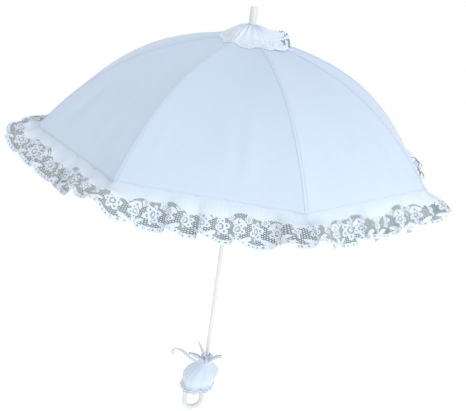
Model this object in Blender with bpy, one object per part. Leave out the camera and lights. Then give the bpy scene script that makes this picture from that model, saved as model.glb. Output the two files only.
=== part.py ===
"""Lace parasol, open: eight-rib folding frame, satin canopy in eight gores, lace edge and a hook handle.

The shaft runs along +Z. The origin is on the shaft's axis, in the middle of the grip.
"""
import math

import bmesh
import bpy
from mathutils import Matrix, Vector

# Canopy
RIBS = 8
OPEN_R = 0.290  # shaft axis to rib tip
HEM_Z = 0.450  # height of the rib tips
CROWN_RISE = 0.155  # rib tips to the top of the canopy
CROWN_SLOPE = 0.375  # share of the fall that is straight, the rest steepens towards the hem
FALL_POWER = 3.2
CANOPY_HOLE_R = 0.0058
CLOTH = 0.0008
SEAM_GAP = 0.0006
RUFFLE_WIDTH = 0.050
RUFFLE_DROOP = math.radians(36)
RUFFLE_WAVES = 5  # folds on each gore
RUFFLE_FOLD = 0.0055
FRILL_R = 0.056
FRILL_WAVES = 11

# Shaft and ferrule
SHAFT_R = 0.0040
SHAFT_BORE_R = 0.0032
SHAFT_BOTTOM_Z = -0.008
SHAFT_TOP_Z = 0.6275
FERRULE_R = 0.0055
FERRULE_BASE_Z = 0.6060
FERRULE_TOP_Z = 0.6407
FIT_GAP = 0.0003  # between pieces that touch

# Frame
NOTCH_R = 0.0090
NOTCH_Z = (0.5940, 0.6005)
SLOT_WIDTH = 0.0028
HINGE_R = 0.0070  # circle of the notch's wire ring
HINGE_Z = 0.5975
RIB_WIRE_R = 0.0011
RIB_DROP = 0.0032  # canopy's outer face to the rib's centre
RIB_END = 0.985  # share of OPEN_R that the rib reaches
JOINT_R = 0.130  # where the stretcher meets the rib
PIN_DROP = 0.0030
PIN_R = 0.0007
EYE_R = 0.0017
EYE_HOLE_R = 0.00085
STRETCHER_R = 0.0010
STRETCHER_LENGTH = 0.1269
RUNNER_EYE_R = 0.0092
RUNNER_R = 0.0070
RUNNER_BORE_R = 0.0043
FLANGE_R = 0.0110
FLANGE_HALF = 0.0035
SLEEVE_LENGTH = 0.0380
RUNNER_TRAVEL = 0.1679
CATCH_AZIMUTH = math.radians(22.5)
CATCH_WIDTH = 0.0018

# Handle
CROOK_R = 0.0050
CROOK_BEND_R = 0.0156
CROOK_BEND_Z = -0.0484
CROOK_TIP_Z = -0.0100
NECK_R = 0.0070
NECK_Z = (-0.0140, 0.0300)
SKIRT_OFFSET_X = -0.0065
BOW_AZIMUTH = math.radians(-107.9)

HALF = math.pi / RIBS
WHITE_PAINT = ("white_paint", (0.80, 0.82, 0.84), 0.35, 0.0)
BRIGHT_STEEL = ("bright_steel", (0.62, 0.63, 0.65), 0.30, 1.0)
SPRING_STEEL = ("spring_steel", (0.50, 0.51, 0.53), 0.35, 1.0)
WHITE_PLASTIC = ("white_plastic", (0.86, 0.87, 0.88), 0.30, 0.0)
SATIN = ("satin", (0.82, 0.88, 0.95), 0.42, 0.0)
LACE = ("lace", (0.84, 0.88, 0.93), 0.75, 0.0)
RIBBON = ("ribbon", (0.85, 0.89, 0.95), 0.38, 0.0)


def material(name, look):
    made = bpy.data.materials.new(name)
    made.use_nodes = True
    shader = made.node_tree.nodes["Principled BSDF"]
    _, colour, roughness, metallic = look
    shader.inputs["Base Color"].default_value = (*colour, 1.0)
    shader.inputs["Roughness"].default_value = roughness
    shader.inputs["Metallic"].default_value = metallic
    made.diffuse_color = (*colour, 1.0)
    return made


def new_object(name, mesh, look=None, location=(0, 0, 0), turn=0.0):
    thing = bpy.data.objects.new(name, mesh)
    bpy.context.collection.objects.link(thing)
    thing.location = location
    thing.rotation_euler = (0, 0, turn)
    if look:
        thing.data.materials.clear()
        thing.data.materials.append(material(name, look))
    return thing


def mesh_from(name, points, faces):
    """A mesh of these points and faces, its normals turned outwards."""
    bm = bmesh.new()
    made = [bm.verts.new(p) for p in points]
    for face in faces:
        bm.faces.new([made[i] for i in face])
    bmesh.ops.recalc_face_normals(bm, faces=bm.faces)
    mesh = bpy.data.meshes.new(name)
    bm.to_mesh(mesh)
    bm.free()
    mesh.shade_smooth()
    mesh.set_sharp_from_angle(angle=math.radians(40))
    return mesh


def turned(name, outline, sides=32, centre=(0, 0, 0)):
    """A ring: a closed (radius, height) outline carried round Z."""
    points, faces, n = [], [], len(outline)
    for k in range(sides):
        a = 2 * math.pi * k / sides
        for r, z in outline:
            points.append((centre[0] + r * math.cos(a), centre[1] + r * math.sin(a), centre[2] + z))
    for k in range(sides):
        j = (k + 1) % sides
        for i in range(n):
            m = (i + 1) % n
            faces.append((k * n + i, j * n + i, j * n + m, k * n + m))
    return mesh_from(name, points, faces)


def swept(name, path, radius, sides=8):
    """A round bar along a path that stays in the XZ plane."""
    points, faces, last = [], [], len(path) - 1
    for i, centre in enumerate(path):
        ahead = Vector(path[min(i + 1, last)]) - Vector(path[max(i - 1, 0)])
        across = Vector((0, 1, 0))
        up = ahead.normalized().cross(across)
        for k in range(sides):
            a = 2 * math.pi * (k + 0.5) / sides
            points.append(Vector(centre) + radius * (math.cos(a) * across + math.sin(a) * up))
    for i in range(last):
        for k in range(sides):
            j = (k + 1) % sides
            faces.append((i * sides + k, i * sides + j, (i + 1) * sides + j, (i + 1) * sides + k))
    faces.append(tuple(range(sides)))
    faces.append(tuple(last * sides + k for k in range(sides)))
    return mesh_from(name, points, faces)


def prism(name, outline, width):
    """A plate: an (x, z) outline with its thickness along Y."""
    n = len(outline)
    points = [(x, side * width / 2, z) for side in (-1, 1) for x, z in outline]
    faces = [tuple(range(n)), tuple(range(n, 2 * n))]
    faces += [(i, (i + 1) % n, n + (i + 1) % n, n + i) for i in range(n)]
    return mesh_from(name, points, faces)


def disc_outline(centre, radius, sides=16):
    turns = [2 * math.pi * (k + 0.5) / sides for k in range(sides)]
    return [(centre[0] + radius * math.cos(a), centre[1] + radius * math.sin(a)) for a in turns]


def box_outline(x0, x1, z0, z1):
    return [(x0, z0), (x1, z0), (x1, z1), (x0, z1)]


def grid_mesh(name, rows, around=False):
    """A sheet through rows of points, closed on itself along each row where around is true."""
    n = len(rows[0])
    points = [p for row in rows for p in row]
    faces = []
    for i in range(len(rows) - 1):
        for k in range(n if around else n - 1):
            j = (k + 1) % n
            faces.append((i * n + k, i * n + j, (i + 1) * n + j, (i + 1) * n + k))
    mesh = bpy.data.meshes.new(name)
    mesh.from_pydata(points, [], faces)
    mesh.shade_smooth()
    return mesh


def thicken(thing, thickness, offset):
    solid = thing.modifiers.new("cloth", "SOLIDIFY")
    solid.thickness = thickness
    solid.offset = offset


def combine(thing, steps):
    """Boolean steps on an object: (operation, helper mesh) in order."""
    for operation, mesh in steps:
        helper = new_object("helper_" + mesh.name, mesh)
        helper.location = thing.location
        helper.rotation_euler = thing.rotation_euler
        helper.hide_render = True
        helper.display_type = "WIRE"
        join = thing.modifiers.new(operation.lower(), "BOOLEAN")
        join.operation = operation
        join.object = helper
        join.solver = "EXACT"
    return thing


def finished_mesh(name, mesh, steps):
    """The mesh after its Boolean steps, to be shared by the copies of a repeated piece."""
    before = set(bpy.data.objects)
    thing = combine(new_object(name, mesh), steps)
    bpy.context.view_layer.update()
    seen = thing.evaluated_get(bpy.context.evaluated_depsgraph_get())
    done = bpy.data.meshes.new_from_object(seen)
    done.name = name
    for extra in set(bpy.data.objects) - before:
        bpy.data.objects.remove(extra, do_unlink=True)
    done.set_sharp_from_angle(angle=math.radians(40))
    return done


def joined_prisms(name, outlines, width, turns):
    """Copies of one plate round Z, as one helper mesh."""
    bm = bmesh.new()
    for turn in turns:
        for outline in outlines:
            plate = prism(name, outline, width)
            plate.transform(Matrix.Rotation(turn, 4, "Z"))
            bm.from_mesh(plate)
    mesh = bpy.data.meshes.new(name)
    bm.to_mesh(mesh)
    bm.free()
    return mesh


def canopy_z(r):
    s = r / OPEN_R
    return HEM_Z + CROWN_RISE * (1 - CROWN_SLOPE * s - (1 - CROWN_SLOPE) * s**FALL_POWER)


def rib_point(r):
    """Centre of the rib at this radius: under the canopy, and level from the notch outwards."""
    slope = (canopy_z(r + 1e-4) - canopy_z(r - 1e-4)) / 2e-4
    across = math.hypot(slope, 1)
    under = Vector((r + RIB_DROP * slope / across, canopy_z(r) - RIB_DROP / across))
    blend = min(max((r - HINGE_R) / 0.030, 0), 1)
    blend = blend * blend * (3 - 2 * blend)
    return under * blend + Vector((r, HINGE_Z)) * (1 - blend)


def pin_point():
    """The pin that carries the stretcher, just under the rib."""
    centre = rib_point(JOINT_R)
    return centre + Vector((0, -PIN_DROP))


def runner_eye_z():
    pin = pin_point()
    return pin.y - math.sqrt(STRETCHER_LENGTH**2 - (pin.x - RUNNER_EYE_R) ** 2)


def make_rib_mesh():
    first, last, parts = HINGE_R + 0.0010, RIB_END * OPEN_R, 12
    radii = [first + (last - first) * k / parts for k in range(parts + 1)]
    path = [(p.x - HINGE_R, 0, p.y - HINGE_Z) for p in map(rib_point, radii)]
    pin = pin_point() - Vector((HINGE_R, HINGE_Z))
    ear = box_outline(pin.x - 0.0019, pin.x + 0.0019, pin.y - 0.0017, pin.y + PIN_DROP + 0.0002)
    steps = [("UNION", prism("eye", disc_outline((0, 0), EYE_R), 0.0018))]
    for side in (-1, 1):
        plate = prism("ear", ear, 0.0008)
        plate.transform(Matrix.Translation((0, side * 0.0013, 0)))
        steps.append(("UNION", plate))
    steps.append(("UNION", prism("pin", disc_outline(pin, PIN_R, 12), 0.0030)))
    steps.append(("DIFFERENCE", prism("hole", disc_outline((0, 0), EYE_HOLE_R, 12), 0.0060)))
    return finished_mesh("rib", swept("rib_wire", path, RIB_WIRE_R), steps)


def make_stretcher_mesh():
    pin = pin_point()
    inner = Vector((RUNNER_EYE_R, runner_eye_z())) - pin
    along = inner.normalized()
    ends = [(p.x, 0, p.y) for p in (along * 0.0042, inner - along * 0.0010)]
    wire = swept("stretcher_wire", ends, STRETCHER_R)
    side = Vector((-along.y, along.x)) * 0.0010
    tab = [side, along * 0.0060 + side, along * 0.0060 - side, -side]
    steps = [("UNION", prism("tab", tab, 0.0012)),
             ("UNION", prism("eye", disc_outline((0, 0), EYE_R - 0.0001), 0.0012)),
             ("UNION", prism("eye", disc_outline(inner, EYE_R), 0.0018))]
    for at in ((0, 0), inner):
        steps.append(("DIFFERENCE", prism("hole", disc_outline(at, EYE_HOLE_R, 12), 0.0060)))
    return finished_mesh("stretcher", wire, steps)


def make_tip_mesh():
    """A cap with a blind hole that fits over the end of the rib."""
    near, end = rib_point(RIB_END * OPEN_R - 0.0045), rib_point(RIB_END * OPEN_R)
    along = (end - near).normalized()
    bore, wall = RIB_WIRE_R + 0.0003, 0.0005
    outline = [(bore, 0), (bore + wall, 0), (bore + wall, 0.0052), (bore, 0.0066), (0.0004, 0.0070)]
    outline += [(0.0004, 0.0049), (bore, 0.0049)]
    sides, points, faces = 10, [], []
    for r, h in outline:
        points += [(r * math.cos(2 * math.pi * k / sides), r * math.sin(2 * math.pi * k / sides), h)
                   for k in range(sides)]
    for i in (0, 1, 2, 3, 5):
        for k in range(sides):
            j = (k + 1) % sides
            faces.append((i * sides + k, i * sides + j, (i + 1) * sides + j, (i + 1) * sides + k))
    faces += [(6 * sides + k, 6 * sides + (k + 1) % sides, (k + 1) % sides, k) for k in range(sides)]
    faces += [tuple(4 * sides + k for k in range(sides)), tuple(5 * sides + k for k in range(sides))]
    mesh = mesh_from("rib_tip", points, faces)
    tilt = math.atan2(along.x, along.y)
    start = end - along * 0.0045 - Vector((HINGE_R, HINGE_Z))
    mesh.transform(Matrix.Translation((start.x, 0, start.y)) @ Matrix.Rotation(tilt, 4, "Y"))
    return mesh


def make_gore_mesh():
    rows, parts = [], 10
    for i in range(parts + 1):
        r = CANOPY_HOLE_R + (OPEN_R - CANOPY_HOLE_R) * (i / parts) ** 0.85
        wide = r * math.sin(HALF) - SEAM_GAP
        x, z = r * math.cos(HALF) - HINGE_R, canopy_z(r) - HINGE_Z
        rows.append([(x, wide * t / 2, z) for t in (-2, 0, 2)])
    return grid_mesh("gore", rows)


def make_ruffle_mesh():
    """One gore's length of lace edging: folds that open out towards a scalloped edge."""
    cells, rows = 25, []
    for v in (0.0, 0.45, 1.0):
        row = []
        for k in range(cells + 1):
            t = 2 * k / cells - 1
            turn = t * HALF
            wave = math.sin(math.pi * RUFFLE_WAVES * (t + 1))
            fold = wave * RUFFLE_FOLD * v
            reach = 0.0006 + v * RUFFLE_WIDTH * (0.95 + 0.05 * abs(wave))
            out = reach * math.cos(RUFFLE_DROOP) + fold * math.sin(RUFFLE_DROOP)
            x = OPEN_R * math.cos(HALF) + out * math.cos(turn)
            y = t * (OPEN_R * math.sin(HALF) - 0.0010) + out * math.sin(turn)
            z = HEM_Z - reach * math.sin(RUFFLE_DROOP) + fold * math.cos(RUFFLE_DROOP)
            row.append((x - HINGE_R, y, z - HINGE_Z))
        rows.append(row)
    return grid_mesh("ruffle", rows)


def make_round_frame():
    """The eight ribs with their tips, stretchers, gores and ruffles."""
    rib, stretcher, tip = make_rib_mesh(), make_stretcher_mesh(), make_tip_mesh()
    gore, ruffle = make_gore_mesh(), make_ruffle_mesh()
    pin = pin_point()
    for k in range(RIBS):
        turn = 2 * HALF * k
        out = Vector((math.cos(turn), math.sin(turn), 0))
        hinge = out * HINGE_R + Vector((0, 0, HINGE_Z))
        for name, mesh, look in (("rib", rib, BRIGHT_STEEL), ("rib_tip", tip, WHITE_PLASTIC)):
            new_object(f"{name}_{k + 1}", mesh.copy(), look, hinge, turn)
        at = out * pin.x + Vector((0, 0, pin.y))
        new_object(f"stretcher_{k + 1}", stretcher.copy(), BRIGHT_STEEL, at, turn)
        turn += HALF
        out = Vector((math.cos(turn), math.sin(turn), 0))
        hinge = out * HINGE_R + Vector((0, 0, HINGE_Z))
        for name, mesh, look in (("gore", gore, SATIN), ("ruffle", ruffle, LACE)):
            cloth = new_object(f"{name}_{k + 1}", mesh.copy(), look, hinge, turn)
            thicken(cloth, CLOTH, -1)


def make_shaft():
    outline = [(SHAFT_R, SHAFT_BOTTOM_Z), (SHAFT_R, SHAFT_TOP_Z),
               (SHAFT_BORE_R, SHAFT_TOP_Z), (SHAFT_BORE_R, SHAFT_BOTTOM_Z)]
    shaft = new_object("shaft", turned("shaft", outline, 24), WHITE_PAINT)
    windows = [box_outline(0.0015, 0.0060, low - FIT_GAP, high + FIT_GAP) for low, high in nose_heights()]
    cutter = joined_prisms("windows", windows, CATCH_WIDTH + 2 * FIT_GAP, [CATCH_AZIMUTH])
    combine(shaft, [("DIFFERENCE", cutter)])


def nose_heights():
    """(low, high) of the top catch's nose, under the open runner, and of the bottom one's, over it closed."""
    open_bottom = runner_eye_z() - FLANGE_HALF - SLEEVE_LENGTH
    closed_top = runner_eye_z() + FLANGE_HALF - RUNNER_TRAVEL
    return ((open_bottom - 0.0075, open_bottom - 0.0005), (closed_top + 0.0005, closed_top + 0.0075))


def make_catches():
    """Two sprung latches, each a leaf inside the tube with a nose that stands out through a window."""
    for name, (low, high), ramp_low in zip(("top_catch", "bottom_catch"), nose_heights(), (True, False)):
        nose = [(0.0044, low), (0.0060, low + 0.0035), (0.0060, high), (0.0028, high)]
        if not ramp_low:
            nose = [(0.0060, low), (0.0060, high - 0.0035), (0.0044, high), (0.0028, high)]
        leaf = [(0.0028, high + 0.007), (0.0022, high + 0.007), (0.0022, low - 0.007), (0.0028, low - 0.007)]
        mesh = prism(name, nose + leaf + [(0.0028, low)], CATCH_WIDTH)
        new_object(name, mesh, SPRING_STEEL, (0, 0, 0), CATCH_AZIMUTH)


def make_crown():
    """Notch, washers, ferrule and the lace frill round the ferrule."""
    low, high = NOTCH_Z
    bore = SHAFT_R + FIT_GAP
    ring = [(NOTCH_R, low), (NOTCH_R, high), (bore, high), (bore, low)]
    notch = new_object("top_notch", turned("top_notch", ring, 32), WHITE_PLASTIC)
    slot = box_outline(0.0050, 0.0110, low - 0.001, high + 0.001)
    slots = joined_prisms("notch_slots", [slot], SLOT_WIDTH, [2 * HALF * k for k in range(RIBS)])
    wire = turned("ring_wire", [(HINGE_R + 0.0005 * math.cos(a), HINGE_Z + 0.0005 * math.sin(a))
                                for a in (math.pi * k / 3 for k in range(6))], 32)
    combine(notch, [("DIFFERENCE", slots), ("UNION", wire)])
    washers = (("inner_washer", 0.0070, 0.6008, 0.6016), ("crown_washer", 0.0080, 0.6046, 0.6056))
    for name, r, z0, z1 in washers:
        new_object(name, turned(name, [(r, z0), (r, z1), (bore, z1), (bore, z0)], 32), WHITE_PLASTIC)
    top, base, rim = FERRULE_TOP_Z, FERRULE_BASE_Z, FERRULE_R - 0.0006
    tube = [(FERRULE_R, base), (FERRULE_R, top - 0.0006), (rim, top), (0.0008, top),
            (0.0008, SHAFT_TOP_Z + FIT_GAP), (bore, SHAFT_TOP_Z + FIT_GAP), (bore, base)]
    ferrule = new_object("ferrule", turned("ferrule", tube, 32), WHITE_PLASTIC)
    combine(ferrule, [("UNION", solid_plug("ferrule_core", 0.0015, top - 0.0080, top))])
    frill()


def solid_plug(name, radius, low, high, sides=16):
    points = [(radius * math.cos(2 * math.pi * k / sides), radius * math.sin(2 * math.pi * k / sides), z)
              for z in (low, high) for k in range(sides)]
    faces = [tuple(range(sides)), tuple(range(sides, 2 * sides))]
    faces += [(k, (k + 1) % sides, sides + (k + 1) % sides, sides + k) for k in range(sides)]
    return mesh_from(name, points, faces)


def frill():
    rows, around = [], 4 * FRILL_WAVES
    inner = FERRULE_R + 0.0009
    for v in (0.0, 0.5, 1.0):
        row = []
        for k in range(around):
            a = 2 * math.pi * k / around
            r = inner + (FRILL_R - inner) * v * (1 + 0.04 * math.cos(FRILL_WAVES * a))
            z = 0.6145 - 0.0150 * v + 0.0018 * v * math.sin(FRILL_WAVES * a)
            row.append((r * math.cos(a), r * math.sin(a), z))
        rows.append(row)
    thicken(new_object("crown_frill", grid_mesh("crown_frill", rows, True), LACE), CLOTH, 0)


def make_runner():
    eye, bore = runner_eye_z(), RUNNER_BORE_R
    top, under, low = eye + FLANGE_HALF, eye - FLANGE_HALF, eye - FLANGE_HALF - SLEEVE_LENGTH
    outline = [(RUNNER_R + 0.0014, low), (RUNNER_R + 0.0014, low + 0.0040), (RUNNER_R, low + 0.0055),
               (RUNNER_R, under), (FLANGE_R, under), (FLANGE_R, top), (bore, top), (bore, low)]
    runner = new_object("runner", turned("runner", outline, 32), WHITE_PLASTIC)
    slot = box_outline(RUNNER_R + 0.0002, FLANGE_R + 0.002, under - 0.001, top + 0.001)
    slots = joined_prisms("runner_slots", [slot], SLOT_WIDTH, [2 * HALF * k for k in range(RIBS)])
    key = box_outline(0.0020, 0.0064, low - 0.001, top + 0.001)
    keyway = joined_prisms("keyway", [key], CATCH_WIDTH + 0.0008, [CATCH_AZIMUTH])
    combine(runner, [("DIFFERENCE", slots), ("DIFFERENCE", keyway)])


def make_crook():
    """The hook handle: neck with the shaft's socket, shank, half-round bend and a short arm."""
    bend = [(-CROOK_BEND_R + CROOK_BEND_R * math.cos(a), 0, CROOK_BEND_Z - CROOK_BEND_R * math.sin(a))
            for a in (math.pi * k / 12 for k in range(13))]
    arm_x = -2 * CROOK_BEND_R
    path = [(0, 0, NECK_Z[0] + 0.003), (0, 0, -0.030)] + bend
    path += [(arm_x, 0, -0.030), (arm_x, 0, CROOK_TIP_Z - 0.0015)]
    crook = new_object("crook", swept("crook", path, CROOK_R, 14), WHITE_PLASTIC)
    low, high = NECK_Z
    neck = mesh_of_plug([(CROOK_R - 0.0004, low - 0.006), (NECK_R, low), (NECK_R, high - 0.001),
                         (NECK_R - 0.001, high)])
    tip = mesh_of_plug([(CROOK_R, CROOK_TIP_Z - 0.0025), (CROOK_R - 0.0001, CROOK_TIP_Z - 0.0010),
                        (CROOK_R - 0.0014, CROOK_TIP_Z)])
    tip.transform(Matrix.Translation((arm_x, 0, 0)))
    socket = solid_plug("socket", SHAFT_R + FIT_GAP, SHAFT_BOTTOM_Z - FIT_GAP, high + 0.002, 24)
    combine(crook, [("UNION", neck), ("UNION", tip), ("DIFFERENCE", socket)])


def mesh_of_plug(outline, sides=24):
    """A solid turned about Z from (radius, height) points, flat at both ends."""
    points = [(r * math.cos(2 * math.pi * k / sides), r * math.sin(2 * math.pi * k / sides), z)
              for r, z in outline for k in range(sides)]
    last = len(outline) - 1
    faces = [tuple(range(sides)), tuple(last * sides + k for k in range(sides))]
    for i in range(last):
        faces += [(i * sides + k, i * sides + (k + 1) % sides,
                   (i + 1) * sides + (k + 1) % sides, (i + 1) * sides + k) for k in range(sides)]
    return mesh_from("plug", points, faces)


def skirt_ring(v, sides, out=0.0):
    """Points round the satin skirt at share v of the way down, pushed outwards by out."""
    z = 0.0460 - 0.0600 * v
    swell = math.sin(min(max((v - 0.17) / 0.60, 0), 1) * math.pi / 2) ** 1.2
    shift = SKIRT_OFFSET_X * swell
    row = []
    for k in range(sides):
        a = 2 * math.pi * k / sides
        pleat = 0.0010 * swell * math.cos(9 * a)
        rx, ry = 0.0092 + 0.0230 * swell + pleat + out, 0.0092 + 0.0190 * swell + pleat + out
        row.append((shift + rx * math.cos(a), ry * math.sin(a), z))
    return row


def make_handle_cloth():
    sides = 36
    rows = [skirt_ring(v, sides) for v in (0.0, 0.17, 0.27, 0.40, 0.62, 1.0)]
    thicken(new_object("skirt", grid_mesh("skirt", rows, True), SATIN), CLOTH, 0)
    lower = [skirt_ring(v, sides, 0.0012) for v in (0.94, 1.0)]
    lower.append([(x * 1.03, y * 1.03, z - 0.0090) for x, y, z in lower[-1]])
    thicken(new_object("skirt_lace", grid_mesh("skirt_lace", lower, True), LACE), 0.0006, 0)
    band = [(0.0102, 0.0365), (0.0112, 0.0370), (0.0112, 0.0430), (0.0102, 0.0435)]
    new_object("ribbon_band", turned("ribbon_band", band, 32), RIBBON)
    bow()


def bow_point(side, front, up):
    """A point by the bow: to its right, out from the shaft, and up."""
    front_way = Vector((math.cos(BOW_AZIMUTH), math.sin(BOW_AZIMUTH), 0))
    side_way = Vector((-front_way.y, front_way.x, 0))
    return side_way * side + front_way * front + Vector((0, 0, up))


def pillow(name, centre, size, tilt):
    """A rounded lump with its long way along the bow."""
    bm = bmesh.new()
    bmesh.ops.create_uvsphere(bm, u_segments=12, v_segments=8, radius=1)
    mesh = bpy.data.meshes.new(name)
    bm.to_mesh(mesh)
    bm.free()
    turn = Matrix.Rotation(BOW_AZIMUTH + math.pi / 2, 4, "Z") @ Matrix.Rotation(tilt, 4, "Y")
    mesh.transform(Matrix.Translation(bow_point(*centre)) @ turn @ Matrix.Diagonal((*size, 1)))
    mesh.shade_smooth()
    return mesh


def bow():
    """A tied bow on the band, and the ribbon's two free ends."""
    knot = new_object("bow", pillow("bow", (0, 0.0165, 0.0450), (0.0045, 0.0040, 0.0050), 0), RIBBON)
    left = pillow("loop", (-0.0190, 0.0165, 0.0500), (0.0180, 0.0035, 0.0060), math.radians(12))
    right = pillow("loop", (0.0120, 0.0165, 0.0490), (0.0110, 0.0035, 0.0055), math.radians(-18))
    combine(knot, [("UNION", left), ("UNION", right)])
    long_end = ((-0.0040, 0.0220, 0.0400), (-0.0160, 0.0225, 0.0395), (-0.0290, 0.0220, 0.0420),
                (-0.0390, 0.0200, 0.0510), (-0.0470, 0.0185, 0.0580), (-0.0530, 0.0180, 0.0600),
                (-0.0560, 0.0180, 0.0560), (-0.0555, 0.0180, 0.0500))
    short_end = ((-0.0040, 0.0110, 0.0550), (-0.0075, 0.0125, 0.0600), (-0.0110, 0.0130, 0.0660),
                 (-0.0150, 0.0125, 0.0720), (-0.0180, 0.0120, 0.0780))
    tails = (("tail_long", long_end, (0, 0.0010, 0.0035)), ("tail_short", short_end, (0.0030, 0, 0.0015)))
    for name, line, lean in tails:
        rows = [[bow_point(*(Vector(p) + Vector(lean) * s)) for s in (-1, 1)] for p in line]
        thicken(new_object(name, grid_mesh(name, rows), RIBBON), 0.0006, 0)


for old in list(bpy.data.objects):
    bpy.data.objects.remove(old, do_unlink=True)
make_shaft()
make_crown()
make_runner()
make_catches()
make_round_frame()
make_crook()
make_handle_cloth()
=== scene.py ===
import math

import bpy
import numpy as np
from mathutils import Matrix, Vector


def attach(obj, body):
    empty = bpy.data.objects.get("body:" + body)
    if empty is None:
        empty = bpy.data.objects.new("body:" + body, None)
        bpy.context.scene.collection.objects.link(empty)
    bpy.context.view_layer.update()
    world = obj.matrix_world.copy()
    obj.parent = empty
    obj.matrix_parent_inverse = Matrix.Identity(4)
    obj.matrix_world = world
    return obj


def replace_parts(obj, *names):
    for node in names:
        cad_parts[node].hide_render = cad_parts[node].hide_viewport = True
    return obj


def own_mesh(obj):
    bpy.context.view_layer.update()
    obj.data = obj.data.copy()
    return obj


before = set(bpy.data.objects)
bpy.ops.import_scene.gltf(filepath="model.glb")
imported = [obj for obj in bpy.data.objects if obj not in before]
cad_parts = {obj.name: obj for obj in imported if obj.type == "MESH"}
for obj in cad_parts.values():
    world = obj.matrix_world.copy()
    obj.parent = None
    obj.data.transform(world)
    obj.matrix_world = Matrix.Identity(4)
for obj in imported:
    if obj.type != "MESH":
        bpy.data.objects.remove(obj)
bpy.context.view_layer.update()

# The shaft runs along +Z. Gore k lies between rib k and rib k + 1, and rib 1 points along +X.

# Sizes shared with the solid model, in metres
RIBS = 8
HALF = math.pi / RIBS
OPEN_R, HEM_Z, CROWN_RISE = 0.290, 0.450, 0.155
CROWN_SLOPE, FALL_POWER = 0.375, 3.2
HOLE_R = 0.0058  # hole in the crown of the canopy
RIB_FOLD = math.radians(58)
HINGE_R, HINGE_Z = 0.0070, 0.5975
HUB = "shaft_and_handle"
BOW_AZIMUTH = math.radians(-107.9)
CAMERA_AZIMUTH = math.radians(-17.85)


# ---------------------------------------------------------------- materials

def nodes_of(name, colour, roughness, **sockets):
    made = bpy.data.materials.new(name)
    made.use_nodes = True
    tree = made.node_tree
    shader = tree.nodes["Principled BSDF"]
    shader.inputs["Base Color"].default_value = (*colour, 1)
    shader.inputs["Roughness"].default_value = roughness
    for socket, value in sockets.items():
        shader.inputs[socket.replace("_", " ")].default_value = value
    return made, tree, shader


def add(tree, kind, **values):
    node = tree.nodes.new(kind)
    for name, value in values.items():
        if name in node.inputs:
            node.inputs[name].default_value = value
        else:
            setattr(node, name, value)
    return node


def two_tones(tree, shader, factor, dark, light):
    """The base colour runs between two close tones with a factor from 0 to 1."""
    mix = add(tree, "ShaderNodeMix", data_type="RGBA")
    mix.inputs[6].default_value = (*dark, 1)
    mix.inputs[7].default_value = (*light, 1)
    tree.links.new(factor, mix.inputs[0])
    tree.links.new(mix.outputs[2], shader.inputs["Base Color"])


def bump(tree, shader, height, distance, strength=1.0):
    node = add(tree, "ShaderNodeBump", Distance=distance, Strength=strength)
    tree.links.new(height, node.inputs["Height"])
    tree.links.new(node.outputs["Normal"], shader.inputs["Normal"])


def woven(name, dark, light, roughness, thread, sheen, grain=1.0, length=0.0, **sockets):
    """Cloth: fine warp and weft from the cloth's own flat coordinates, with a slow change of tone.

    With a length, the tone also runs from dark to light over that length of cloth; on the canopy satin this
    run is painted light, lighter towards the hem.
    """
    made, tree, shader = nodes_of(name, light, roughness, Sheen_Weight=sheen, Sheen_Roughness=0.4,
                                  **sockets)
    flat = add(tree, "ShaderNodeUVMap", uv_map="flat")
    heights = []
    for direction, weight in (("X", 1.0), ("Y", 0.45 * grain)):
        wave = add(tree, "ShaderNodeTexWave", bands_direction=direction, Scale=0.31 / thread,
                   Distortion=0.6, Detail=1.0)
        tree.links.new(flat.outputs["UV"], wave.inputs["Vector"])
        scaled = add(tree, "ShaderNodeMath", operation="MULTIPLY")
        scaled.inputs[1].default_value = weight
        tree.links.new(wave.outputs["Fac"], scaled.inputs[0])
        heights.append(scaled.outputs[0])
    total = add(tree, "ShaderNodeMath", operation="ADD")
    for k in (0, 1):
        tree.links.new(heights[k], total.inputs[k])
    where = add(tree, "ShaderNodeTexCoord")
    slow = add(tree, "ShaderNodeTexNoise", Scale=14.0, Detail=3.0, Roughness=0.55)
    tree.links.new(where.outputs["Object"], slow.inputs["Vector"])
    tone = slow.outputs["Fac"]
    # On the canopy satin, this run of tone along the cloth is painted light.
    if length:
        split = add(tree, "ShaderNodeSeparateXYZ")
        tree.links.new(flat.outputs["UV"], split.inputs[0])
        tone = add(tree, "ShaderNodeMath", operation="MULTIPLY_ADD")
        tone.inputs[1].default_value = 0.8 / length
        half = add(tree, "ShaderNodeMath", operation="MULTIPLY_ADD")
        half.inputs[1].default_value, half.inputs[2].default_value = 0.3, -0.05
        tree.links.new(split.outputs["Y"], tone.inputs[0])
        tree.links.new(slow.outputs["Fac"], half.inputs[0])
        tree.links.new(half.outputs[0], tone.inputs[2])
        tone = tone.outputs[0]
    two_tones(tree, shader, tone, dark, light)
    rough = add(tree, "ShaderNodeMapRange")
    rough.inputs["To Min"].default_value = roughness - 0.06
    rough.inputs["To Max"].default_value = roughness + 0.08
    tree.links.new(slow.outputs["Fac"], rough.inputs["Value"])
    tree.links.new(rough.outputs["Result"], shader.inputs["Roughness"])
    bump(tree, shader, total.outputs[0], thread * 0.25, 0.5)
    return made


def tone_net(look, colour):
    """The thin threads of a net, where the piece's motif value is 0, are darker than its motifs."""
    tree = look.node_tree
    shader = tree.nodes["Principled BSDF"]
    before = shader.inputs["Base Color"].links[0].from_socket
    motif = add(tree, "ShaderNodeAttribute", attribute_name="motif")
    mix = add(tree, "ShaderNodeMix", data_type="RGBA")
    mix.inputs[6].default_value = (*colour, 1)
    tree.links.new(before, mix.inputs[7])
    tree.links.new(motif.outputs["Fac"], mix.inputs[0])
    tree.links.new(mix.outputs[2], shader.inputs["Base Color"])


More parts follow.
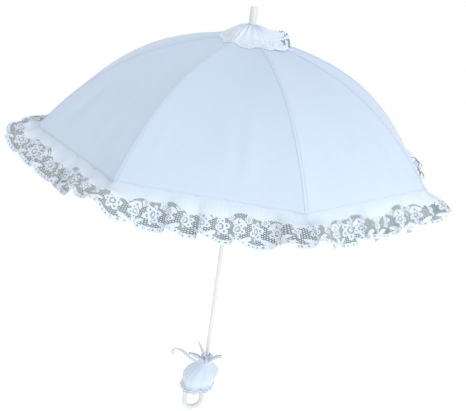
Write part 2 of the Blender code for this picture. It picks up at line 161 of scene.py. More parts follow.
def moulded(name, dark, light, roughness, scale, depth, **sockets):
    """Plastic or metal: a slow change of tone and a fine uneven surface."""
    made, tree, shader = nodes_of(name, light, roughness, **sockets)
    where = add(tree, "ShaderNodeTexCoord")
    slow = add(tree, "ShaderNodeTexNoise", Scale=scale * 0.06, Detail=2.0)
    fine = add(tree, "ShaderNodeTexNoise", Scale=scale, Detail=4.0, Roughness=0.6)
    for noise in (slow, fine):
        tree.links.new(where.outputs["Object"], noise.inputs["Vector"])
    two_tones(tree, shader, slow.outputs["Fac"], dark, light)
    rough = add(tree, "ShaderNodeMapRange")
    rough.inputs["To Min"].default_value = roughness - 0.05
    rough.inputs["To Max"].default_value = roughness + 0.12
    tree.links.new(fine.outputs["Fac"], rough.inputs["Value"])
    tree.links.new(rough.outputs["Result"], shader.inputs["Roughness"])
    bump(tree, shader, fine.outputs["Fac"], depth, 0.6)
    return made


def drawn(name, dark, light, roughness, stretch, depth, **sockets):
    """Drawn wire and tube: faint lines along the length, from a noise squeezed in one direction."""
    made, tree, shader = nodes_of(name, light, roughness, **sockets)
    where = add(tree, "ShaderNodeTexCoord")
    squeeze = add(tree, "ShaderNodeMapping")
    squeeze.inputs["Scale"].default_value = stretch
    lines = add(tree, "ShaderNodeTexNoise", Scale=1.0, Detail=3.0, Roughness=0.6)
    tree.links.new(where.outputs["Object"], squeeze.inputs["Vector"])
    tree.links.new(squeeze.outputs["Vector"], lines.inputs["Vector"])
    two_tones(tree, shader, lines.outputs["Fac"], dark, light)
    bump(tree, shader, lines.outputs["Fac"], depth, 0.5)
    return made


# Painted light: over 0.33 m of cloth, the canopy satin runs from its darker, bluer tone at the crown to its
# lighter tone at the hem, standing in for light coming through the cloth near the hem. The seams and facings
# share it.
SATIN = woven("satin_canopy", (0.462, 0.575, 0.725), (0.532, 0.630, 0.748), 0.40, 0.00035, 0.25,
              grain=0.4, length=0.33, Specular_IOR_Level=0.4)
SATIN_SKIRT = woven("satin_skirt", (0.56, 0.65, 0.77), (0.64, 0.73, 0.84), 0.34, 0.00035, 0.25, grain=0.4)
LACE = woven("lace_thread", (0.53, 0.63, 0.745), (0.64, 0.72, 0.82), 0.75, 0.00045, 0.2, length=0.016)
tone_net(LACE, (0.20, 0.25, 0.28))
RIBBON = woven("ribbon_satin", (0.44, 0.47, 0.58), (0.60, 0.64, 0.75), 0.34, 0.0004, 0.2, grain=0.3)
STITCH = woven("sewing_thread", (0.52, 0.62, 0.75), (0.62, 0.71, 0.82), 0.6, 0.0002, 0.1)
PLASTIC = moulded("white_plastic", (0.58, 0.61, 0.62), (0.70, 0.73, 0.74), 0.24, 900.0, 0.00003,
                  Coat_Weight=0.3, Coat_Roughness=0.15, Subsurface_Weight=0.15, Subsurface_Scale=0.003)
PAINT = drawn("white_enamel", (0.64, 0.64, 0.62), (0.74, 0.74, 0.73), 0.28, (900.0, 900.0, 25.0), 0.00001,
              Coat_Weight=0.4)
STEEL = drawn("bright_steel", (0.50, 0.51, 0.53), (0.72, 0.73, 0.75), 0.28,
              (500.0, 500.0, 500.0), 0.00001, Metallic=1.0)
SPRING = drawn("spring_steel", (0.40, 0.41, 0.43), (0.58, 0.59, 0.61), 0.32,
               (700.0, 700.0, 60.0), 0.00001, Metallic=1.0)


# ---------------------------------------------------------------- mesh tools

def mesh_piece(name, points, faces, flat, look, body, thickness=0.0, offset=-1.0):
    """A mesh with its flat cloth coordinates, in metres, as its UV map."""
    mesh = bpy.data.meshes.new(name)
    mesh.from_pydata(np.asarray(points, float).tolist(), [], np.asarray(faces).tolist())
    layer = mesh.uv_layers.new(name="flat")
    index = np.zeros(len(mesh.loops), np.int32)
    mesh.loops.foreach_get("vertex_index", index)
    layer.data.foreach_set("uv", np.asarray(flat, np.float32)[index].ravel())
    mesh.shade_smooth()
    mesh.materials.append(look)
    piece = bpy.data.objects.new(name, mesh)
    bpy.context.collection.objects.link(piece)
    if thickness:
        solid = piece.modifiers.new("cloth", "SOLIDIFY")
        solid.thickness, solid.offset = thickness, offset
    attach(piece, body)
    return piece


def grid_faces(rows, columns, around=False):
    """Quads of a grid of rows x columns points; around joins its last column to its first."""
    r = np.arange(rows - 1)[:, None]
    c = np.arange(columns if around else columns - 1)[None, :]
    n = (c + 1) % columns
    here, below = r * columns, (r + 1) * columns
    return np.stack([here + c, here + n, below + n, below + c], -1).reshape(-1, 4)


def smooth_step(x):
    x = np.clip(x, 0, 1)
    return x * x * (3 - 2 * x)


def turned_by(points, turn):
    """Points turned round Z."""
    c, s = math.cos(turn), math.sin(turn)
    x, y, z = points[..., 0], points[..., 1], points[..., 2]
    return np.stack([c * x - s * y, s * x + c * y, z], -1)


def distance_along(line):
    """The length of a line of points up to each of them."""
    return np.concatenate([[0], np.cumsum(np.linalg.norm(np.diff(line, axis=0), axis=1))])


def openwork(field, length, width, step):
    """The part of a flat strip where field is above 0, as points (along, across) and triangles."""
    nu, nv = math.ceil(length / step), math.ceil(width / step)
    u, v = np.meshgrid(np.linspace(0, length, nu + 1), np.linspace(0, width, nv + 1), indexing="ij")
    points = np.stack([u.ravel(), v.ravel()], 1)
    f = field(points[:, 0], points[:, 1])
    at = np.arange(len(points)).reshape(nu + 1, nv + 1)
    a, b, c, d = (x.ravel() for x in (at[:-1, :-1], at[1:, :-1], at[1:, 1:], at[:-1, 1:]))
    tris = np.concatenate([np.stack([a, b, c], 1), np.stack([a, c, d], 1)])
    inside = f[tris] > 0
    count = inside.sum(1)
    done, edges, parts = [tris[count == 3]], [], []
    for wanted, lone in ((1, True), (2, False)):
        some, mask = tris[count == wanted], inside[count == wanted]
        first = np.argmax(mask if lone else ~mask, 1)
        order = (first[:, None] + np.arange(3)) % 3
        some = np.take_along_axis(some, order, 1)
        parts.append(some)
        edges += [some[:, [0, 1]], some[:, [0, 2]]]
    sizes = np.cumsum([0] + [len(e) for e in edges])
    unique, back = np.unique(np.sort(np.concatenate(edges), 1), axis=0, return_inverse=True)
    back = back.ravel() + len(points)
    share = f[unique[:, 0]] / (f[unique[:, 0]] - f[unique[:, 1]])
    share = np.clip(share, 0.04, 0.96)[:, None]
    cut = points[unique[:, 0]] * (1 - share) + points[unique[:, 1]] * share
    one, two, three, four = (back[sizes[k]:sizes[k + 1]] for k in range(4))
    done.append(np.stack([parts[0][:, 0], one, two], 1))
    done.append(np.stack([three, parts[1][:, 1], parts[1][:, 2]], 1))
    done.append(np.stack([three, parts[1][:, 2], four], 1))
    tris, points = np.concatenate(done), np.concatenate([points, cut])
    used, tris = np.unique(tris, return_inverse=True)
    return points[used], tris.reshape(-1, 3)


def flat_area(points, tris):
    a, b, c = (points[tris[:, k]] for k in range(3))
    return float(np.abs(np.cross(b - a, c - a)).sum() / 2)


# ---------------------------------------------------------------- lace pattern, in millimetres

EDGE_BAND, EYELET_R = 5.6, 1.15
NET_CELL, NET_THREAD = 2.1, 0.60


def flower(x, y, radius, petals, turn):
    """Above 0 inside a pierced flower; a distance in mm."""
    d, a = np.hypot(x, y), np.arctan2(y, x) + turn
    sector = 2 * math.pi / petals
    a = (a + sector / 2) % sector - sector / 2
    outline = radius * (0.62 + 0.38 * np.abs(np.cos(a * petals / 2)))
    petal_hole = 0.11 * radius - np.hypot(d * np.cos(a) - 0.66 * radius, 0.7 * d * np.sin(a))
    ring = 0.10 * radius - np.abs(d - 0.30 * radius)
    return np.minimum(outline - d, -np.maximum(petal_hole, ring))


def leaf(x, y, cx, cy, turn, long, wide):
    """Above 0 inside an oval leaf."""
    c, s = math.cos(turn), math.sin(turn)
    px, py = (x - cx) * c + (y - cy) * s, -(x - cx) * s + (y - cy) * c
    return (1 - np.hypot(px / long, py / wide)) * wide


def tulle(u, v, cell, thread):
    """Above 0 on the threads of a diamond net."""
    ways = (((u * 0.5 * k + v * 0.866) / cell) % 1 for k in (-1, 1))
    return np.maximum(*[thread - np.abs(way - 0.5) * cell for way in ways])


class Lace:
    """A scalloped flower lace: solid top, net ground, flowers with leaves, eyelets along the edge.

    The sizes come in metres, but for the depth of a scallop, which is in mm like everything inside.
    """

    def __init__(self, width, period, top, depth, wander=0.0):
        self.w, self.p, self.top = width * 1000, period * 1000, top * 1000
        self.depth, self.wander = depth, wander

    def edge(self, x):
        return self.w - self.depth * np.abs(2 * x / self.p) ** 2.4

    def motif(self, u, v):
        u, v, w, p = u * 1000, v * 1000, self.w, self.p
        x = u % p - p / 2
        inner = self.edge(x) - v
        band = EDGE_BAND - inner
        spacing = p / 10
        middle = (np.floor(x / spacing) + 0.5) * spacing
        eyelet = EYELET_R - np.hypot(x - middle, v - self.edge(middle) + 3.2)
        side = np.where(x > 0, x - p / 2, x + p / 2)
        row, largest = v - 0.60 * w, (0.205 + 0.03 * np.sin(u // p * 2.1)) * w
        flowers = np.maximum.reduce([flower(x, row, largest, 6, 0.3), flower(side, row, 0.17 * w, 5, 0.9),
                                     flower(np.abs(x) - 0.25 * p, v - 0.36 * w, 0.10 * w, 5, 0.0)])
        leaves = np.maximum(leaf(np.abs(x), v, 0.30 * p, 0.80 * w, 0.5, 0.11 * w, 0.045 * w),
                            leaf(np.abs(x), v, 0.40 * p, 0.44 * w, -0.7, 0.11 * w, 0.045 * w))
        wavy = self.top * (1 + self.wander * np.sin(2 * math.pi * u / (2.7 * p) + 1.0))
        picots = 0.7 * np.abs(np.sin(math.pi * u / 3.4))
        solid = wavy + 0.05 * w * np.cos(2 * math.pi * x / p) + picots - v
        return np.minimum(np.maximum.reduce([np.minimum(band, -eyelet), flowers, leaves, solid]), inner)

    def cloth(self, u, v):
        x = u * 1000 % self.p - self.p / 2
        inner = self.edge(x) - v * 1000
        net = tulle(u * 1000, v * 1000, NET_CELL, NET_THREAD)
        return np.maximum(self.motif(u, v), np.minimum(net, inner - 1.0))


def lace_strip(pattern, length, width, step):
    """The flat points, triangles, motif values and cloth area of a strip of lace."""
    flat, tris = openwork(pattern.cloth, length, width, step)
    motif = (pattern.motif(flat[:, 0], flat[:, 1]) > -0.12).astype(float)
    return flat, tris, motif, flat_area(flat, tris)


def set_motif(piece, values):
    layer = piece.data.attributes.new("motif", "FLOAT", "POINT")
    layer.data.foreach_set("value", values.astype(np.float32))


def bell(azimuth, at, spread):
    """1 at an azimuth in degrees, and less to both sides of it."""
    away = (np.degrees(azimuth) - at + 180) % 360 - 180
    return np.exp(-((away / spread) ** 2))


# ---------------------------------------------------------------- canopy

def canopy_z(r):
    """The height of the canopy over a rib."""
    s = r / OPEN_R
    return HEM_Z + CROWN_RISE * (1 - CROWN_SLOPE * s - (1 - CROWN_SLOPE) * s**FALL_POWER)


GORE_KEEP, RUFFLE_KEEP = 0.14, 0.12  # share of its width that each would keep when the canopy is closed; only the facings' width is worked out from it
SATIN_THICKNESS = 0.0004
WRINKLES = 6  # in the lower half of each gore
SEAM_HALF = 0.0026  # half the width of a felled seam
# How far the middle of each gore sinks between its ribs; the fourth is blown out a little
SAG = (0.0042, 0.0042, 0.0042, -0.0080, 0.0036, 0.0042, 0.0042, 0.0170)


def gore_point(r, t, depth):
    """A point of the cloth between two ribs, t from -1 to 1 across it, in the gore's own frame."""
    x, y, z = r * math.cos(HALF), t * (r * math.sin(HALF) - 0.0003), canopy_z(r)
    s = r / OPEN_R
    slope = (canopy_z(r + 1e-4) - canopy_z(r - 1e-4)) / 2e-4
    nx, nz = -slope / np.hypot(slope, 1), 1 / np.hypot(slope, 1)
    roundness = 0.8 + 0.7 * smooth_step((s - 0.75) / 0.20)
    sag = -depth * (1 - t**2) * np.sin(math.pi * np.clip(s, 0, 1)) ** roundness
    return x, y, z, nx, nz, sag


def make_gores():
    rows, columns = 72, 49
    for k in range(RIBS):
        draw = np.random.default_rng(40 + k)
        share = np.linspace(0, 1, rows)[:, None] ** 0.9
        r = HOLE_R + (OPEN_R - HOLE_R) * share + 0 * np.linspace(-1, 1, columns)[None]
        t = np.linspace(-1, 1, columns)[None] + 0 * share
        x, y, z, nx, nz, off = gore_point(r, t, SAG[k])
        low = smooth_step((r / OPEN_R - 0.55) / 0.45)
        free = (1 - t**8) * low**1.5 * (1 - smooth_step((r / OPEN_R - 0.84) / 0.16)) * 1.2
        for _ in range(WRINKLES):
            middle, wide = draw.uniform(-0.8, 0.8), draw.uniform(0.05, 0.14)
            high = draw.uniform(-0.0030, 0.0026)
            lean = draw.uniform(-0.15, 0.15) * (1 - r / OPEN_R)
            off = off + free * high * np.exp(-(((t - middle - lean) / wide) ** 2))
        points = np.stack([x + nx * off, y, z + nz * off], -1)
        along = distance_along(points[:, columns // 2])
        flat = np.stack([y, along[:, None] + 0 * y], -1)
        turn = 2 * HALF * k + HALF
        gore = mesh_piece(f"canopy_gore_{k + 1}", turned_by(points, turn).reshape(-1, 3),
                          grid_faces(rows, columns)[:, ::-1], flat.reshape(-1, 2), SATIN, f"gore_{k + 1}",
                          SATIN_THICKNESS)
        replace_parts(gore, f"gore_{k + 1}")
        squash_to_fold(gore)


def squash_to_fold(piece):
    """The piece gets a copy of its mesh of its own."""
    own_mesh(piece)


def over_rib(k, r, across, lift):
    """Points on the gores to both sides of a rib, this far across it and this far off the cloth."""
    r, across, lift = np.broadcast_arrays(r, across, lift)
    points = np.zeros(r.shape + (3,))
    for sign, gore in ((-1, k - 1), (1, k)):
        t = -sign * (1 - np.abs(across) / (r * math.sin(HALF)))
        x, y, z, nx, nz, off = gore_point(r, t, SAG[gore % RIBS])
        local = np.stack([x + nx * (off + lift), y, z + nz * (off + lift)], -1)
        side = across * sign >= 0
        points[side] = turned_by(local, sign * HALF)[side]
    return turned_by(points, 2 * HALF * k)


def make_seams():
    """A felled seam over each rib, with two rows of stitches."""
    rows = 90
    r = np.linspace(0.010, OPEN_R - 0.0005, rows)
    along = np.concatenate([[0], np.cumsum(np.hypot(np.diff(r), np.diff(canopy_z(r))))])
    across = np.array([-1, -0.85, -0.5, 0, 0.5, 0.85, 1]) * SEAM_HALF
    rise = np.array([-0.00010, 0.00006, 0.00018, 0.00020, 0.00018, 0.00006, -0.00010])
    for k in range(RIBS):
        points = over_rib(k, r[:, None], across[None], rise[None])
        flat = np.stack(np.broadcast_arrays(across[None], along[:, None]), -1)
        seam = mesh_piece(f"seam_{k + 1}", points.reshape(-1, 3), grid_faces(rows, len(across))[:, ::-1],
                          flat.reshape(-1, 2), SATIN, f"rib_{k + 1}", 0.0003)
        make_stitches(k, r, along)


def make_facings():
    """A strip of lining under each seam, which rides its rib.

    Its width is worked out for the closed canopy, to fill the space beside the folded rib that gores keeping
    GORE_KEEP of their width would leave.
    """
    rows, columns = 60, 13
    r = np.linspace(0.030, 0.272, rows)
    folded_r = HINGE_R + (r - HINGE_R) * math.cos(RIB_FOLD) - (HINGE_Z - canopy_z(r)) * math.sin(RIB_FOLD)
    half_width = math.sin(HALF) * (folded_r - GORE_KEEP * r) + 0.0020
    half_width = np.maximum(half_width * smooth_step((0.276 - r) / 0.03), 0.0008)
    for k in range(RIBS):
        across = np.linspace(-1, 1, columns)[None] * half_width[:, None]
        points = over_rib(k, r[:, None], across, -0.0014)
        flat = np.stack([across, r[:, None] * 1.14 + 0 * across], -1)
        piece = mesh_piece(f"facing_{k + 1}", points.reshape(-1, 3), grid_faces(rows, columns)[:, ::-1],
                           flat.reshape(-1, 2), SATIN, f"rib_{k + 1}", 0.0002)


def make_stitches(k, r, along):
    """Short raised threads in two rows along the seam."""
    starts = np.arange(0.004, along[-1] - 0.004, 0.0030)
    share, up = np.array([0.0, 0.25, 0.75, 1.0]), np.array([0.0, 1.0, 1.0, 0.0])
    rows, sides = [-0.0017, 0.0017], [-0.00022, 0.00022]
    row, start, step, side = np.meshgrid(rows, starts, range(4), sides, indexing="ij")
    at, across = start + share[step] * 0.0021, row + side
    points = over_rib(k, np.interp(at, along, r), across, 0.00016 + 0.00022 * up[step]).reshape(-1, 3)
    base = 8 * np.arange(2 * len(starts))[:, None, None] + 2 * np.arange(3)[None, :, None]
    faces = (base + np.array([0, 1, 3, 2])).reshape(-1, 4)
    flat = np.stack([across, at], -1).reshape(-1, 2)
    mesh_piece(f"stitches_{k + 1}", points, faces, flat, STITCH, f"rib_{k + 1}", 0.0002)


# ---------------------------------------------------------------- lace round the hem

RUFFLE_W, RUFFLE_DROOP = 0.0510, 36  # metres; degrees below level
HEM_SLOPE = math.atan(CROWN_RISE / OPEN_R * (CROWN_SLOPE + (1 - CROWN_SLOPE) * FALL_POWER))
GATHER = 1.30  # length of the flat lace over the hem it is sewn to
SCALLOPS = 6  # on each gore
# Where the lace stands out flatter (below 0) or hangs steeper (above 0): azimuth, degrees, spread
HANG = ((172, -29, 14), (204, 16, 6), (223, -36, 9), (235, 24, 5), (247, 12, 5), (257, 20, 5),
        (270, -24, 7), (279, 10, 4), (288, -6, 3), (295, 24, 5), (306, 20, 4), (316, -16, 4), (333, 26, 12))
RUFFLE_FOLDS = 12  # half-waves in the lace of one gore


def fold_phase(u, length, draw, folds):
    """A phase that runs through uneven folds and ends each gore on a whole half-turn."""
    widths = draw.uniform(0.7, 1.3, folds)
    stops = np.concatenate([[0], np.cumsum(widths)]) / widths.sum() * length
    phase = np.interp(u, stops, np.arange(folds + 1) * math.pi)
    heights = np.concatenate([[0.75], draw.uniform(0.5, 1.15, folds - 1), [0.75]])
    amount = np.interp(u, stops, heights)
    return phase, amount


def hang(azimuth):
    """The lace's angle below level, in radians, round the hem."""
    angle = RUFFLE_DROOP + 0 * azimuth
    for at, more, spread in HANG:
        angle = angle + more * bell(azimuth, at, spread)
    return np.radians(angle)


def make_ruffles():
    side = 2 * OPEN_R * math.sin(HALF)
    length = side * GATHER
    pattern = Lace(RUFFLE_W, length / SCALLOPS, top=0.0175, depth=8.0, wander=0.25)
    flat, tris, motif, area = lace_strip(pattern, length, RUFFLE_W, step=0.00052)
    for k in range(RIBS):
        draw = np.random.default_rng(7 + k)
        u, v = flat[:, 0], flat[:, 1]
        phase, amount = fold_phase(u, length, draw, RUFFLE_FOLDS)
        deep = v / RUFFLE_W
        t = 2 * u / length - 1
        turn = 2 * HALF * k + HALF
        swing = 0.0068 * deep**1.05 * amount * np.sin(phase)
        tuck = 2 * math.pi * u / 0.0074
        uneven = tuck + 1.5 * np.sin(0.31 * tuck + draw.uniform(0, 6))
        swing += 0.0011 * deep * np.exp(-deep / 0.20) * np.sin(uneven)
        over = -0.0042 * deep**1.2 * amount * np.sin(2 * phase)
        free = hang(turn + t * HALF) + 0.12 * deep
        droop = HEM_SLOPE + (free - HEM_SLOPE) * smooth_step(deep * 2.2)
        reach = 0.0002 + v * 0.985
        out = reach * np.cos(droop) + swing * np.sin(droop)
        fan = t * HALF
        x = OPEN_R * math.cos(HALF) - 0.00105 + out * np.cos(fan)
        y = t * side / 2 + out * np.sin(fan) + over
        z = HEM_Z + 0.0015 - reach * np.sin(droop) + swing * np.cos(droop)
        points = turned_by(np.stack([x, y, z], -1), turn)
        ruffle = mesh_piece(f"lace_ruffle_{k + 1}", points, tris[:, ::-1], flat, LACE, f"gore_{k + 1}")
        set_motif(ruffle, motif)
        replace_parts(ruffle, f"ruffle_{k + 1}")
        squash_to_fold(ruffle)


def cloth_z(r, azimuth):
    """The height of the gores' outer face at this radius and azimuth."""
    k = np.floor(azimuth / (2 * HALF)).astype(int) % RIBS
    away = azimuth - 2 * HALF * np.floor(azimuth / (2 * HALF)) - HALF
    across, along = np.tan(away) / math.tan(HALF), r * np.cos(away) / math.cos(HALF)
    _, _, z, _, nz, off = gore_point(along, across, np.array(SAG)[k])
    return z + off / nz


def make_crown_frill():
    """The collar falls from the tube onto the canopy; its right end stands up and shows its net."""
    width, length = 0.0520, 0.36
    pattern = Lace(width, length / 11, top=0.0310, depth=5.0)
    flat, tris, motif, area = lace_strip(pattern, length, width, step=0.00055)
    a, deep = 2 * math.pi * flat[:, 0] / length, flat[:, 1] / width
    draw = np.random.default_rng(3)
    folds = [(n, draw.uniform(0.3, 1.0), draw.uniform(0, 6.28)) for n in (5, 8, 11, 13)]
    wave = sum(s * np.sin(n * a + q) for n, s, q in folds) / 2.2
    tight = np.sin(24 * a + 1.5 * np.sin(5 * a))
    right, left = bell(a, -12, 34), bell(a, 165, 50)
    tube_r, top_z = 0.0064, 0.6160
    rim = 0.0570 + 0.0085 * right - 0.0120 * left
    r = tube_r + (rim - tube_r) * deep**0.92 + 0.0012 * deep * np.sin(7 * a + 1.0)
    low = cloth_z(r, a) + 0.0004
    lie = smooth_step(deep * 1.05) ** (0.75 + 0.15 * left)
    ear = 0.0155 * right * smooth_step((deep - 0.25) / 0.5) * (1 - 0.9 * smooth_step((deep - 0.80) / 0.20))
    press = 1 - (1 - right) * smooth_step((deep - 0.50) / 0.45)
    gathers = 0.0010 * deep * wave + 0.0013 * tight * np.minimum(deep * 6, 1) * (1 - 0.5 * deep)
    z = top_z * (1 - lie) + low * lie + ear
    z = np.maximum(z + gathers * (1 - 0.4 * left) * press, low)
    frill = mesh_piece("crown_lace", np.stack([r * np.cos(a), r * np.sin(a), z], -1), tris[:, ::-1], flat,
                       LACE, HUB)
    set_motif(frill, np.maximum(motif, right < 0.35))
    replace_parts(frill, "crown_frill")


# ---------------------------------------------------------------- handle


def skirt_shape(v, a, out=0.0):
    """A point of the gathered skirt at share v down and azimuth a."""
    swell = np.sin(np.clip((v - 0.17) / 0.60, 0, 1) * math.pi / 2) ** 1.2
    heading = np.clip((0.04 - v) / 0.13, 0, 1)
    neck = 0.0092 - 0.0022 * np.exp(-(((v - 0.04) / 0.06) ** 2)) + 0.0020 * np.sin(math.pi * heading)
    neck = neck - 0.0044 * smooth_step((-0.02 - v) / 0.07)
    gathers = np.sin(16 * a + 1.6 * np.sin(3 * a) + 0.8 * np.sin(5 * a + 1))
    gathers = gathers * (0.6 + 0.4 * np.sin(2 * a + 2))
    pleat = 0.0011 * gathers * np.clip(1.15 - v, 0.15, 1) * (0.4 + 0.6 * swell)
    pleat = pleat + 0.0013 * swell * np.sin(5 * a + 1) + 0.0006 * swell * np.sin(11 * a)
    pleat = pleat + 0.0006 * heading * np.sin(9 * a + np.sin(2 * a))
    drawn_in = 1 - 0.13 * smooth_step((v - 0.55) / 0.45) * (1 + np.cos(a))
    rx = drawn_in * (neck + 0.0230 * swell + pleat + out)
    ry = drawn_in * (neck + 0.0190 * swell + pleat + out)
    drop = 0.0550 * (1 - 0.055 * swell * (1 + np.cos(a - CAMERA_AZIMUTH)))
    return -0.0065 * swell + rx * np.cos(a), ry * np.sin(a), 0.0460 - drop * v


def make_skirt():
    rows, columns = 40, 220
    v = np.linspace(-0.09, 1, rows)[:, None] + np.zeros((1, columns))
    a = 2 * math.pi * np.arange(columns)[None] / columns + np.zeros((rows, 1))
    x, y, z = skirt_shape(v, a)
    flat = np.stack([a * 0.030, v * 0.062], -1)
    skirt = mesh_piece("handle_skirt", np.stack([x, y, z], -1).reshape(-1, 3),
                       grid_faces(rows, columns, True), flat.reshape(-1, 2), SATIN_SKIRT, HUB,
                       SATIN_THICKNESS)
    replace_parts(skirt, "skirt")
    width, length = 0.0150, 0.17
    pattern = Lace(width, length / 11, top=0.0035, depth=3.0)
    flat, tris, motif, area = lace_strip(pattern, length, width, step=0.00045)
    a, deep = 2 * math.pi * flat[:, 0] / length, flat[:, 1] / width
    x, y, z = skirt_shape(np.full_like(a, 0.99), a, 0.0009)
    flare = 1 + 0.06 * deep + 0.035 * deep * np.sin(18 * a + 0.7 * np.sin(3 * a))
    z = z + 0.0018 - 0.0120 * deep
    lace = mesh_piece("skirt_edging", np.stack([x * flare, y * flare, z + 0 * a], -1), tris, flat,
                      LACE, HUB)
    set_motif(lace, motif)
    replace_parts(lace, "skirt_lace")


def bow_frame():
    front = np.array([math.cos(BOW_AZIMUTH), math.sin(BOW_AZIMUTH), 0.0])
    side = np.array([-front[1], front[0], 0.0])
    return side, front, np.array([0, 0, 1.0])


def catmull(stops, values, at):
    """A smooth curve through values at even stops."""
    n = len(stops) - 1
    ext = np.concatenate([[2 * values[0] - values[1]], values, [2 * values[-1] - values[-2]]])
    k = np.clip((at * n).astype(int), 0, n - 1)
    t = (at * n - k)[:, None]
    p0, p1, p2, p3 = (ext[k + i] for i in range(4))
    square, cube = 2 * p0 - 5 * p1 + 4 * p2 - p3, 3 * p1 - p0 - 3 * p2 + p3
    return 0.5 * (2 * p1 + (p2 - p0) * t + square * t**2 + cube * t**3)


def strip(name, line, lean, width, curl):
    """A ribbon through (side, front, up) points; lean is the direction of its width at each of them."""
    pieces, columns = 64, 9
    axes = np.stack(bow_frame())
    line, lean = np.array(line, float), np.array(lean, float)
    stops = np.linspace(0, 1, len(line))
    at = np.linspace(0, 1, pieces)
    centre = catmull(stops, line, at)
    way = catmull(stops, lean, at)
    way /= np.linalg.norm(way, axis=1)[:, None]
    wide = np.interp(at, stops, width)
    across = np.linspace(-1, 1, columns)
    ahead = np.gradient(centre, axis=0)
    normal = np.cross(ahead, way)
    normal /= np.linalg.norm(normal, axis=1)[:, None] + 1e-12
    points = centre[:, None] + way[:, None] * (across[None, :, None] * wide[:, None, None] / 2)
    points = points + normal[:, None] * (curl * (1 - across[None, :, None] ** 2) * wide[:, None, None])
    along = distance_along(centre)
    flat = np.stack([across[None] * wide[:, None] / 2, along[:, None] + 0 * across[None]], -1)
    piece = mesh_piece(name, (points @ axes).reshape(-1, 3), grid_faces(pieces, columns),
                       flat.reshape(-1, 2), RIBBON, HUB, 0.00035, offset=0.0)
    return piece


def make_band():
    rows, columns = 13, 160
    up = np.linspace(-1, 1, rows)[:, None] + np.zeros((1, columns))
    a = 2 * math.pi * np.arange(columns)[None] / columns + np.zeros((rows, 1))
    r = 0.0095 + 0.0005 * np.cos(up * 1.4) + 0.00025 * np.sin(9 * a + 2 * up) * (1 - up**2)
    r = r + 0.0002 * np.sin(14 * a)
    z = 0.0430 + 0.0034 * up + 0.0004 * np.sin(3 * a)
    flat = np.stack([up * 0.0035, a * 0.0105], -1)
    band = mesh_piece("neck_ribbon", np.stack([r * np.cos(a), r * np.sin(a), z], -1).reshape(-1, 3),
                      grid_faces(rows, columns, True), flat.reshape(-1, 2), RIBBON, HUB, 0.0003)
    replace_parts(band, "ribbon_band")


def make_bow():
    """Two loops, a knot and two ends, as (side, front, up) points in millimetres."""
    mm = 0.001
    up = (0, 0.15, 1)
    left = np.array([(-2, 15.5, 47), (-8, 19.5, 51), (-17, 21.5, 56.5), (-27, 20.5, 61), (-32, 17.5, 61),
                     (-28, 14.5, 58), (-18, 12.2, 55), (-9, 13.0, 51), (-2, 14.5, 47)]) * mm
    right = np.array([(2, 15.5, 47), (8, 19, 53), (15, 20.5, 59), (22, 19.5, 62), (27, 17, 61.5),
                      (22, 14.5, 60.0), (14, 12.2, 56), (8, 13.2, 51), (2, 14.5, 47)]) * mm
    pinch = np.array([3.2, 4.8, 6.0, 5.5, 4.5, 5.5, 6.0, 4.8, 3.2]) * mm
    first = strip("bow_loop_left", left, [up] * 9, pinch, curl=0.08)
    strip("bow_loop_right", right, [up] * 9, pinch, curl=0.08)
    knot = np.array([(0, 10.9, 42.6), (0, 15.6, 42.2), (0, 17.6, 44.2), (0, 17.8, 48.5), (0, 15.8, 51.2),
                     (0, 11.9, 50.6), (0, 10.3, 48.5), (0, 10.1, 45.2), (0, 10.9, 42.8)]) * mm
    strip("bow_knot", knot, [(1, 0, 0)] * 9, np.full(9, 6.0 * mm), curl=0.10)
    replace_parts(first, "bow")

    long_end = np.array([(-1, 15.0, 46), (-8, 18.5, 46.5), (-17, 21.0, 48.5), (-27, 21.5, 53.5),
                         (-36, 20.5, 60), (-44, 19, 65.0), (-52, 18.5, 66.8), (-57, 18, 65.5),
                         (-60, 17.8, 60.5), (-59.5, 18, 54)]) * mm
    lean = [(-0.1, 0.2, 1), (0, 0.2, 1), (0.1, 0.1, 1), (0.3, 0.1, 1), (0.45, 0, 1), (0.35, 0, 1),
            (0.1, 0.3, 1), (-0.5, 0.4, 0.8), (-1, 0.4, 0.2), (-1, 0.3, 0)]
    wide = np.array([5, 5.5, 6, 6, 6.5, 6.5, 6, 5.5, 4.5, 3.5]) * mm
    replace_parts(strip("ribbon_end_long", long_end, lean, wide, curl=0.09), "tail_long")

    short_end = np.array([(-1, 12.7, 49), (-4, 12.2, 56), (-7.5, 12.2, 63), (-11, 12.8, 70),
                          (-14.5, 12.6, 77), (-18.5, 12, 83)]) * mm
    lean = [(0.9, 0.1, 0.5)] * 4 + [(0.9, 0.3, 0.3), (0.8, 0.5, 0.2)]
    wide = np.array([5, 5.5, 5.5, 5, 4.5, 3]) * mm
    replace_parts(strip("ribbon_end_short", short_end, lean, wide, curl=0.09), "tail_short")


# ---------------------------------------------------------------- CAD nodes that stay

def dress_cad_nodes():
    looks = {"shaft": PAINT, "runner": PLASTIC, "top_notch": PLASTIC, "inner_washer": PLASTIC,
             "crown_washer": PLASTIC, "ferrule": PLASTIC, "crook": PLASTIC, "top_catch": SPRING,
             "bottom_catch": SPRING}
    for k in range(RIBS):
        looks.update({f"rib_{k + 1}": STEEL, f"stretcher_{k + 1}": STEEL, f"rib_tip_{k + 1}": PLASTIC})
    for name, look in looks.items():
        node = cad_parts[name]
        node.data.materials.clear()
        node.data.materials.append(look)
        node.data.shade_smooth()
        node.data.set_sharp_from_angle(angle=math.radians(38))


# ---------------------------------------------------------------- studio

def rotated(axis, angle, v):
    return Matrix.Rotation(angle, 3, axis) @ v


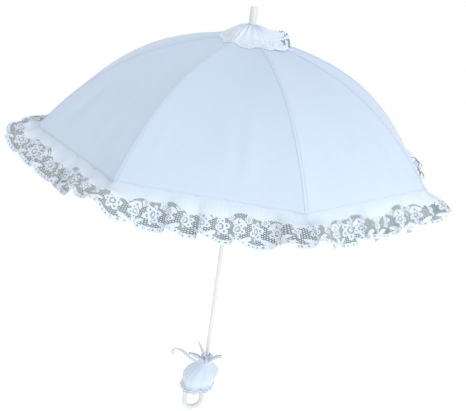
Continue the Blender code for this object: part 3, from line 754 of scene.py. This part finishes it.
def make_camera():
    """The camera stands in front of the canopy, a little above its hem, rolled so that the parasol leans."""
    elevation, distance = math.radians(15.75), 3.2467 * OPEN_R
    pan, tilt, roll = math.radians(0.51), math.radians(-6.356), math.radians(-7.85)
    place = Vector((0, -distance * math.cos(elevation), distance * math.sin(elevation)))
    ahead = -place.normalized()
    right = Vector((1, 0, 0))
    up = right.cross(ahead)
    ahead, right = rotated(up, -pan, ahead), rotated(up, -pan, right)
    ahead, up = rotated(right, tilt, ahead), rotated(right, tilt, up)
    right, up = rotated(ahead, roll, right), rotated(ahead, roll, up)
    spin = Matrix.Rotation(CAMERA_AZIMUTH, 3, "Z")
    place, right, up, ahead = (spin @ v for v in (place, right, up, ahead))
    made = bpy.data.objects.new("camera", bpy.data.cameras.new("camera"))
    bpy.context.collection.objects.link(made)
    turn = Matrix((right, up, -ahead)).transposed().to_4x4()
    made.matrix_world = Matrix.Translation(place + Vector((0, 0, HEM_Z))) @ turn
    made.data.lens, made.data.sensor_width = 47.55, 36
    made.data.clip_start, made.data.clip_end = 0.02, 60
    bpy.context.scene.camera = made


def area_light(name, azimuth, elevation, distance, size, power):
    a, e = math.radians(azimuth), math.radians(elevation)
    way = Vector((math.sin(a) * math.cos(e), -math.cos(a) * math.cos(e), math.sin(e)))
    light = bpy.data.objects.new(name, bpy.data.lights.new(name, "AREA"))
    light.data.energy, light.data.size = power, size
    light.location = way * distance + Vector((0, 0, 0.35))
    light.rotation_euler = way.to_track_quat("Z", "Y").to_euler()
    bpy.context.collection.objects.link(light)


def make_studio():
    world = bpy.data.worlds.new("studio")
    world.use_nodes = True
    back = world.node_tree.nodes["Background"]
    back.inputs["Color"].default_value = (1, 1, 1, 1)
    back.inputs["Strength"].default_value = 1.0
    bpy.context.scene.world = world
    area_light("key", 16, 18, 1.9, 0.9, 13)
    mesh, half = bpy.data.meshes.new("floor"), 9
    corners = [(-half, -half, 0), (half, -half, 0), (half, half, 0), (-half, half, 0)]
    mesh.from_pydata(corners, [], [(0, 1, 2, 3)])
    floor = bpy.data.objects.new("floor", mesh)
    floor.location.z = -2.2
    look, tree, shader = nodes_of("pale_floor", (0.80, 0.80, 0.80), 0.9)
    shader.inputs["Emission Color"].default_value = (1, 1, 1, 1)
    shader.inputs["Emission Strength"].default_value = 0.4
    mesh.materials.append(look)
    bpy.context.collection.objects.link(floor)
    bpy.context.scene.view_settings.view_transform = "Standard"


make_gores()
make_seams()
make_facings()
make_ruffles()
make_crown_frill()
make_skirt()
make_band()
make_bow()
dress_cad_nodes()
make_camera()
make_studio()
